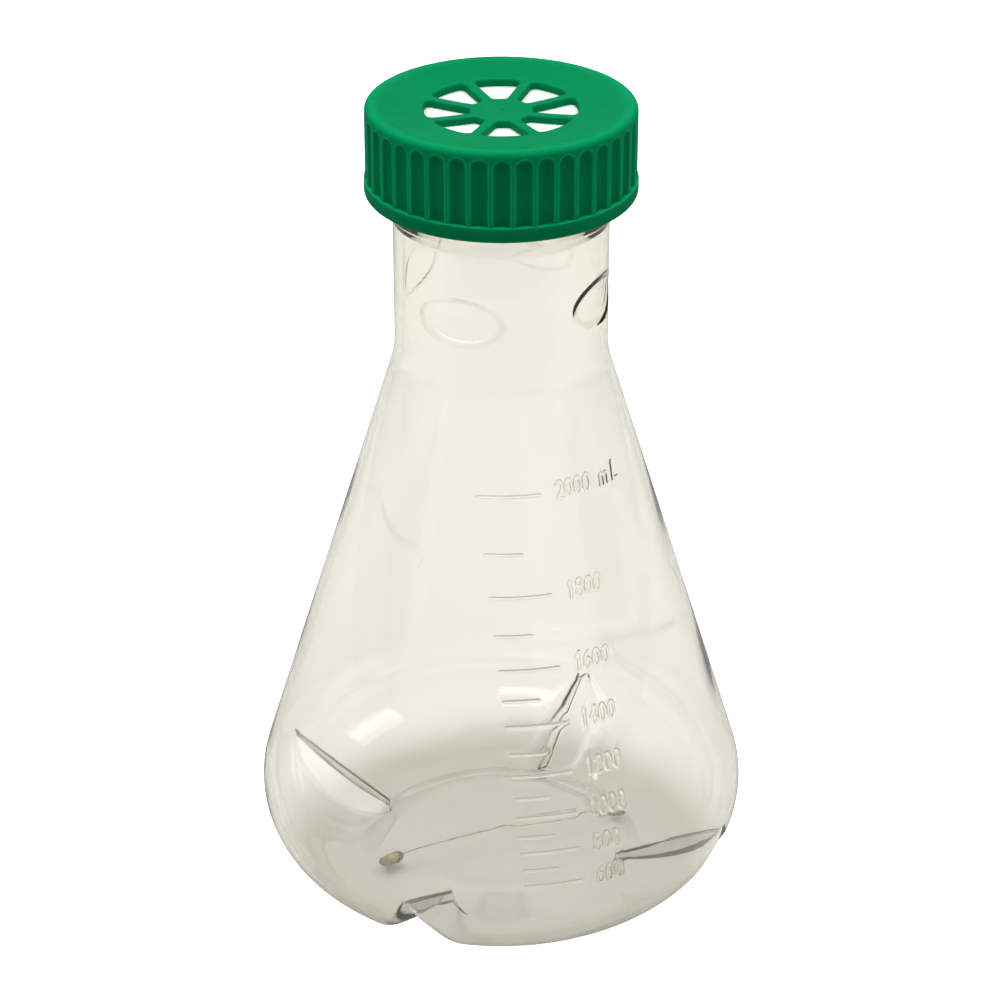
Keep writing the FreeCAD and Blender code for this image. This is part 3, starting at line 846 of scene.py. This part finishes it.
def cap_rows():
    """The cap's section, with closer rows over its thread and flutes."""
    points, directions = rounded_path(cap_path(), radians(12), 3.0)
    radii, levels = points.T
    bore = (np.abs(radii - BORE_RADIUS) < 1e-6) & (levels < SEAT[1] - 1) & (levels > CAP_BOTTOM + 0.7)
    heights = np.arange(levels[bore][0], CAP_BOTTOM + 1.0, -0.5)
    points, directions = upright(points, directions, bore, BORE_RADIUS, heights, -1.0)
    side = (np.abs(points[:, 0] - GRIP_RADIUS) < 1e-6) & (points[:, 1] > LEDGE_HEIGHT)
    low, high = points[side][[0, -1], 1]
    straight_top = FLUTE_TOP - FLUTE_RADIUS
    heights = np.concatenate([
        [low, low + 0.07, low + 0.15, low + 0.25, low + 1.2],
        np.linspace(low + 3, straight_top, 6),
        np.arange(straight_top + 0.35, high - 0.1, 0.35),
        [high],
    ])
    return upright(points, directions, side, GRIP_RADIUS, heights)


def window_loop(grow):
    """Outline of the vent window that points along +X, grown by a distance, counter-clockwise."""
    half = pi / WINDOWS
    outer, hub, bar = WINDOW_RADIUS + grow, HUB_RADIUS - grow, SPOKE_HALF - grow
    corner = WINDOW_CORNER + grow
    along = pointing(half)
    inwards = np.array([along[1], -along[0]])
    far = sqrt((outer - corner) ** 2 - (bar + corner) ** 2) * along + (bar + corner) * inwards
    near = sqrt((hub + corner) ** 2 - (bar + corner) ** 2) * along + (bar + corner) * inwards
    far_angle, near_angle = atan2(far[1], far[0]), atan2(near[1], near[0])
    side = half + pi / 2
    start, end = far - inwards * corner, near - inwards * corner
    loop = [outer * pointing(t) for t in np.linspace(0, far_angle, 8)[:-1]]
    loop += [far + corner * pointing(t) for t in np.linspace(far_angle, side, 8)]
    loop += [start + (end - start) * k for k in (0.25, 0.5, 0.75)]
    loop += [near + corner * pointing(t) for t in np.linspace(side, near_angle + pi, 8)]
    loop += [hub * pointing(t) for t in np.linspace(near_angle, 0, 4)[1:]]
    loop = np.array(loop)
    return np.concatenate([loop, loop[-2:0:-1] * [1, -1]])


def lid_points():
    """Rings of points round the lid's middle, to carry the gate mark."""
    rings = ((0.5, 8), (1.0, 12), (1.6, 16), (2.4, 16), (4.5, 16), (7, 24))
    found = []
    for radius, count in rings:
        found += [radius * pointing(angle) for angle in circle(count)]
    return found + [(0.0, 0.0)]


def lid_surface(found, below, up):
    """Heights and normals of one side of the lid."""
    radius = np.linalg.norm(found, axis=1)
    height = dish(radius, below)
    spread = np.maximum(radius, 1e-6)
    slope = radius / (DISH_SPHERE + below)
    normals = up * np.column_stack([
        -slope * found[:, 0] / spread, -slope * found[:, 1] / spread, np.ones(len(found))])
    if up > 0:
        height = height + gate_mark(radius)
        lean = (gate_mark(radius + 0.02) - gate_mark(radius - 0.02)) / 0.04
        normals[:, :2] -= (lean / spread)[:, None] * found
    return height, normals


def lid_face(shell, ring, below, up, loops):
    """Fill one side of the lid inside a ring of vertices, leaving the windows open."""
    flats = list(np.concatenate(shell.points)[ring][:, :2])
    edges = loop_edges(0, len(ring))
    owners = list(ring)
    for loop, numbers in loops:
        edges += loop_edges(len(flats), len(loop))
        flats += list(loop)
        owners += list(numbers)
    found, triangles, sources = filled(flats + lid_points(), edges)
    height, normals = lid_surface(found, below, up)
    numbers = shell.add(np.column_stack([found, height]), normals)
    reuse(numbers, sources, owners)
    for triangle in triangles:
        if not in_window(found[list(triangle)].mean(axis=0)):
            face = tuple(numbers[i] for i in triangle)
            shell.faces.append(face if up > 0 else face[::-1])


def gate_mark(radius):
    """The moulding gate's dimple, with a low ring round it."""
    return -0.3 * np.exp(-(radius / 0.7) ** 2) + 0.06 * np.exp(-((radius - 1.5) / 0.5) ** 2)


def in_window(point):
    """True inside a vent window, told from the middle of a triangle."""
    radius = hypot(*point)
    half = pi / WINDOWS
    turn = (atan2(point[1], point[0]) - WINDOW_PHASE + half) % (2 * half) - half
    x, y = radius * pointing(turn)
    loop = window_loop(WINDOW_EDGE)
    inside = False
    for (x1, y1), (x2, y2) in zip(loop, np.roll(loop, -1, axis=0)):
        if (y1 > y) != (y2 > y) and x < (x2 - x1) * (y - y1) / (y2 - y1) + x1:
            inside = not inside
    return inside


def window_walls(shell, angle):
    """A vent window's rounded edge and sides. Returns its top and bottom loops with their vertices."""
    wide, tight = turned(window_loop(WINDOW_EDGE), angle), turned(window_loop(0), angle)
    inwards = tight - wide
    inwards /= np.linalg.norm(inwards, axis=1)[:, None]
    rows = []
    for bend in np.radians([0, 22.5, 45, 67.5, 90]):
        loop = wide + inwards * WINDOW_EDGE * sin(bend)
        drop = WINDOW_EDGE * (1 - cos(bend))
        height = dish(np.linalg.norm(loop, axis=1)) - drop
        normals = np.column_stack([inwards * sin(bend), np.full(len(loop), cos(bend))])
        rows.append(shell.add(np.column_stack([loop, height]), normals))
    height = dish(np.linalg.norm(tight, axis=1), LID) + UNDER_EDGE
    normals = np.column_stack([inwards, np.zeros(len(tight))])
    rows.append(shell.add(np.column_stack([tight, height]), normals))
    loop = tight - inwards * UNDER_EDGE
    height = dish(np.linalg.norm(loop, axis=1), LID)
    downs = np.tile([0, 0, -1.0], (len(loop), 1))
    rows.append(shell.add(np.column_stack([loop, height]), downs))
    for upper, lower in zip(rows, rows[1:]):
        shell.strip(upper, lower)
    return (wide, rows[0]), (loop, rows[-1])


def build_cap():
    shell = Shell(0.0)
    columns = circle(FLUTES * 12) + FLUTE_PHASE + pi / 2
    points, directions = cap_rows()
    rows = grid(shell, cap_place, points, directions, columns, tint=edge_tint)
    for r in range(len(rows) - 1):
        shell.strip(rows[r], rows[r + 1])
    angles = [WINDOW_PHASE + k * 2 * pi / WINDOWS for k in range(WINDOWS)]
    top_loops, under_loops = zip(*[window_walls(shell, angle) for angle in angles])
    lid_face(shell, rows[-1], 0.0, 1, top_loops)
    lid_face(shell, rows[0], LID, -1, under_loops)
    return shell.to_object("cap")


# -------------------- materials

def set_inputs(node, values):
    for name, value in dict(values).items():
        node.inputs[name].default_value = value


class Tree:
    """The nodes of a material or a world, with short ways to add to them."""

    def __init__(self, owner):
        owner.use_nodes = True
        self.owner = owner
        self.nodes = owner.node_tree.nodes
        self.join = owner.node_tree.links.new

    def node(self, kind, **values):
        """A new node, with some of its inputs set."""
        made = self.nodes.new("ShaderNode" + kind)
        set_inputs(made, values)
        return made

    def ray(self, kind):
        return self.node("LightPath").outputs[kind]

    def switch(self, fac, first, second):
        """One shader where fac is 0, another where it is 1."""
        mix = self.node("MixShader")
        for source, target in zip((fac, first, second), mix.inputs):
            self.join(source, target)
        return mix.outputs["Shader"]

    def ramp(self, source, stops):
        """Turn a value into a colour or a grey, by (place, colour or grey) stops."""
        blend = self.node("ValToRGB")
        elements = blend.color_ramp.elements
        elements[0].position, elements[1].position = stops[0][0], stops[-1][0]
        for place, _ in stops[1:-1]:
            elements.new(place)
        for element, (_, value) in zip(elements, stops):
            element.color = (*value, 1) if isinstance(value, tuple) else (value, value, value, 1)
        self.join(source, blend.inputs["Fac"])
        return blend.outputs["Color"]


class Paint(Tree):
    """A material with one main shader."""

    def __init__(self, name, values=()):
        super().__init__(bpy.data.materials.new(name))
        self.shader = self.nodes["Principled BSDF"]
        set_inputs(self.shader, values)

    def noise(self, scale, detail=3.0, roughness=0.5, stretch=(1, 1, 1)):
        """A noise texture on the piece's own coordinates."""
        mapping = self.node("Mapping", Scale=stretch)
        texture = self.node("TexNoise", Scale=scale, Detail=detail, Roughness=roughness)
        self.join(self.node("TexCoord").outputs["Object"], mapping.inputs["Vector"])
        self.join(mapping.outputs["Vector"], texture.inputs["Vector"])
        return texture.outputs["Fac"]

    def vary(self, name, low, high, scale, detail=3.0, roughness=0.5):
        """Let one of the shader's inputs wander between two values."""
        wander = self.noise(scale, detail, roughness)
        self.join(self.ramp(wander, ((0.3, low), (0.7, high))), self.shader.inputs[name])

    def bump(self, source, strength, distance):
        bumped = self.node("Bump", Strength=strength, Distance=distance)
        self.join(source, bumped.inputs["Height"])
        self.join(bumped.outputs["Normal"], self.shader.inputs["Normal"])

    def tint(self):
        """The painted light, highlight or shade, that a mesh carries at its vertices."""
        shade = self.node("Attribute")
        shade.attribute_name = "tint"
        return shade.outputs["Fac"]


def clear_polycarbonate():
    """Clear plastic with a faint yellow body, whose shadows are pale."""
    paint = Paint("clear_polycarbonate", {"Transmission Weight": 1.0, "IOR": 1.585})
    # Base colour: the plastic's own clear colour, with painted highlight toward white and painted shade
    # toward brown from the vertices.
    shades = paint.ramp(paint.tint(), ((0.0, PALE_HIGHLIGHT), (NO_PAINTED_LIGHT, CLEAR), (1.0, BROWN_SHADE)))
    paint.join(shades, paint.shader.inputs["Base Color"])
    paint.vary("Roughness", 0.0, 0.035, 60)
    paint.bump(paint.noise(45, 2.0, 0.4, (1, 1, 0.35)), 0.05, 0.001)
    absorb = paint.node("VolumeAbsorption", Color=(0.83, 0.81, 0.42, 1), Density=50.0)
    clear = paint.node("BsdfTransparent", Color=(0.93, 0.93, 0.93, 1))
    surface = paint.switch(paint.ray("Is Shadow Ray"), paint.shader.outputs["BSDF"], clear.outputs["BSDF"])
    output = paint.nodes["Material Output"]
    paint.join(absorb.outputs["Volume"], output.inputs["Volume"])
    paint.join(surface, output.inputs["Surface"])
    return paint.owner


def pinched_polycarbonate():
    """The cloudy, browned plastic where the mould pinched it shut."""
    paint = Paint("pinched_polycarbonate", {"Transmission Weight": 0.75, "IOR": 1.4})
    paint.vary("Base Color", (0.5, 0.4, 0.24), (0.8, 0.74, 0.58), 400)
    paint.vary("Roughness", 0.15, 0.4, 250)
    paint.bump(paint.noise(900), 0.4, 0.0002)
    return paint.owner


# Dark brown for the rods of painted shade along the grooves' folds.
def brown_fold():
    paint = Paint("brown_fold")
    paint.vary("Base Color", (0.2, 0.1, 0.05), (0.36, 0.22, 0.13), 500)
    paint.vary("Roughness", 0.4, 0.6, 250)
    return paint.owner


def green_polypropylene():
    """Dull green plastic, with a painted highlight where the vertices carry one."""
    paint = Paint("green_polypropylene", {"IOR": 1.49, "Specular IOR Level": 0.008})
    mix = paint.node("Mix")
    mix.data_type = "RGBA"
    plain = paint.ramp(paint.noise(30, 4.0), ((0.3, (0.0, 0.188, 0.066)), (0.7, (0.0, 0.208, 0.073))))
    paint.join(paint.tint(), mix.inputs["Factor"])
    paint.join(plain, mix.inputs["A"])
    # The lighter green of the painted highlight.
    mix.inputs["B"].default_value = (0.003, 0.38, 0.15, 1)
    paint.join(mix.outputs["Result"], paint.shader.inputs["Base Color"])
    paint.vary("Roughness", 0.38, 0.5, 220, 4.0)
    paint.bump(paint.noise(2600, 3.0, 0.6), 0.12, 0.0001)
    return paint.owner


def white_fibre(name, colour, scale):
    """A matt white film or felt."""
    paint = Paint(name)
    paint.vary("Base Color", tuple(c * 0.94 for c in colour), colour, scale, 5.0, 0.7)
    paint.vary("Roughness", 0.6, 0.85, scale / 2)
    paint.bump(paint.noise(scale, 6.0, 0.75), 0.35, 0.0002)
    return paint.owner


def silicone():
    soft = (0.002, 0.002, 0.002)
    paint = Paint("silicone", {"Subsurface Weight": 0.15, "Subsurface Radius": soft})
    paint.vary("Base Color", (0.74, 0.74, 0.7), (0.82, 0.82, 0.79), 90)
    paint.vary("Roughness", 0.45, 0.6, 300)
    paint.bump(paint.noise(1500), 0.1, 0.0001)
    return paint.owner


def wear(piece, made):
    piece.data.materials.clear()
    piece.data.materials.append(made)


def dress(piece, made, body):
    """Give a new piece its material and the body that it rides on."""
    wear(piece, made)
    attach(piece, body)


# -------------------- stage

def around(side, reach):
    """A floor position so many degrees round from the camera's side."""
    heading = CAMERA_HEADING + radians(side)
    return reach * sin(heading), -reach * cos(heading)


def area_light(name, place, target, size, power, mirrored=False):
    """A soft light: one that only lights the scene, or one that only shows in the plastic."""
    lamp = bpy.data.lights.new(name, "AREA")
    lamp.shape = "RECTANGLE"
    lamp.size, lamp.size_y = size
    lamp.energy = power
    holder = new_object(name, lamp)
    holder.location = place
    holder.rotation_euler = (Vector(target) - Vector(place)).to_track_quat("-Z", "Y").to_euler()
    holder.visible_diffuse = not mirrored
    holder.visible_glossy = holder.visible_transmission = mirrored


def flat_card(name, across, along, made):
    """A flat rectangle of the stage, given its half sizes."""
    mesh = bpy.data.meshes.new(name)
    corners = [(-across, -along, 0), (across, -along, 0), (across, along, 0), (-across, along, 0)]
    mesh.from_pydata(corners, [], [(0, 1, 2, 3)])
    mesh.materials.append(made)
    card = new_object(name, mesh)
    return card


def card_paint(name, low, high):
    paint = Paint(name)
    paint.vary("Base Color", low, high, 5)
    return paint.owner


def seen_only(card, place, turn, diffuse=False, glossy=False):
    """Put a card in place, hidden from everything but one kind of bounced light."""
    card.location, card.rotation_euler = place, turn
    card.visible_camera = card.visible_transmission = card.visible_shadow = False
    card.visible_diffuse, card.visible_glossy = diffuse, glossy


def build_cards():
    """A dark card that keeps floor light off the cap, and others that darken the plastic's edges."""
    card = flat_card("black_card", 0.6, 0.35, card_paint("card", 0.02, 0.03))
    seen_only(card, (*around(0, 0.62), 0.002), (0, 0, CAMERA_HEADING), diffuse=True)
    brown = card_paint("brown_card", (0.16, 0.13, 0.1), (0.2, 0.165, 0.13))
    for name, side in (("left_card", -112), ("right_card", 112)):
        turn = (radians(90), 0, CAMERA_HEADING + radians(side))
        seen_only(flat_card(name, 0.8, 0.34, brown), (*around(side, 0.6), 0.36), turn, glossy=True)
    grey = card_paint("floor_card", (0.33, 0.32, 0.31), (0.37, 0.36, 0.35))
    seen_only(flat_card("floor_card", 1.5, 1.5, grey), (0, 0, 0.0002), (0, 0, 0), glossy=True)


def floor_paint():
    """Pale and matt, and glowing only to the camera, so that it comes out white."""
    paint = Paint("floor", {"Roughness": 0.9, "Emission Color": (1, 1, 1, 1)})
    paint.vary("Base Color", 0.86, 0.88, 3)
    glow = paint.node("Math")
    glow.operation = "MULTIPLY"
    glow.inputs[1].default_value = FLOOR_GLOW
    paint.join(paint.ray("Is Camera Ray"), glow.inputs[0])
    paint.join(glow.outputs["Value"], paint.shader.inputs["Emission Strength"])
    return paint.owner


def build_stage():
    flat_card("floor", 1.6, 1.6, floor_paint())
    build_cards()
    build_world()
    area_light("top_softbox", (0.1, 0.25, 1.9), (0.05, 0.15, 0), (2.4, 2.4), 58)
    for name, side, height, size, power in REFLECTED_PANELS:
        place = (*around(side, PANEL_REACH), height)
        area_light(name, place, (0, 0, 0.14), size, power, mirrored=True)


def build_world():
    """A dim room for lighting, and a bright tent over a brown horizon for what the plastic shows."""
    world = bpy.data.worlds.new("studio")
    tree = Tree(world)
    room = tree.node("Background", Color=(1.0, 0.99, 0.97, 1), Strength=0.2)
    tent = tree.nodes["Background"]
    backdrop = tree.node("Background", Color=(1, 1, 1, 1), Strength=1.2)
    split = tree.node("SeparateXYZ")
    tree.join(tree.node("TexCoord").outputs["Generated"], split.inputs["Vector"])
    tree.join(tree.ramp(split.outputs["Z"], TENT_STOPS), tent.inputs["Color"])
    sky = tree.switch(tree.ray("Is Diffuse Ray"), tent.outputs["Background"], room.outputs["Background"])
    seen = tree.switch(tree.ray("Is Camera Ray"), sky, backdrop.outputs["Background"])
    tree.join(seen, tree.nodes["World Output"].inputs["Surface"])
    bpy.context.scene.world = world


def build_camera():
    camera = bpy.data.cameras.new("camera")
    camera.sensor_width = CAMERA_SENSOR
    camera.lens = CAMERA_SENSOR * CAMERA_ZOOM
    camera.shift_x = CAMERA_SHIFT
    camera.clip_start = 0.01
    holder = new_object("camera", camera)
    holder.location = (*around(0, CAMERA_REACH), CAMERA_HEIGHT)
    holder.rotation_euler = (CAMERA_TILT, 0, CAMERA_HEADING)
    bpy.context.scene.camera = holder


flask = build_flask()
dress(flask, clear_polycarbonate(), "flask")
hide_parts("flask_body")
pinched = pinched_polycarbonate()
dress(parting_line(), pinched, "flask")
dress(groove_creases(), brown_fold(), "flask")
dress(pinch_lump("left_pinch", *LEFT_LUMP), pinched, "flask")
dress(pinch_lump("right_pinch", *RIGHT_LUMP), pinched, "flask")
cap = build_cap()
dress(cap, green_polypropylene(), "cap")
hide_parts("cap_shell")
wear(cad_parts["vent_membrane"], white_fibre("vent_membrane", (0.74, 0.8, 0.79), 900))
wear(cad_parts["membrane_backing"], white_fibre("membrane_backing", (0.85, 0.86, 0.85), 400))
wear(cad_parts["seal_ring"], silicone())
build_stage()
build_camera()
bpy.context.scene.view_settings.view_transform = "Standard"
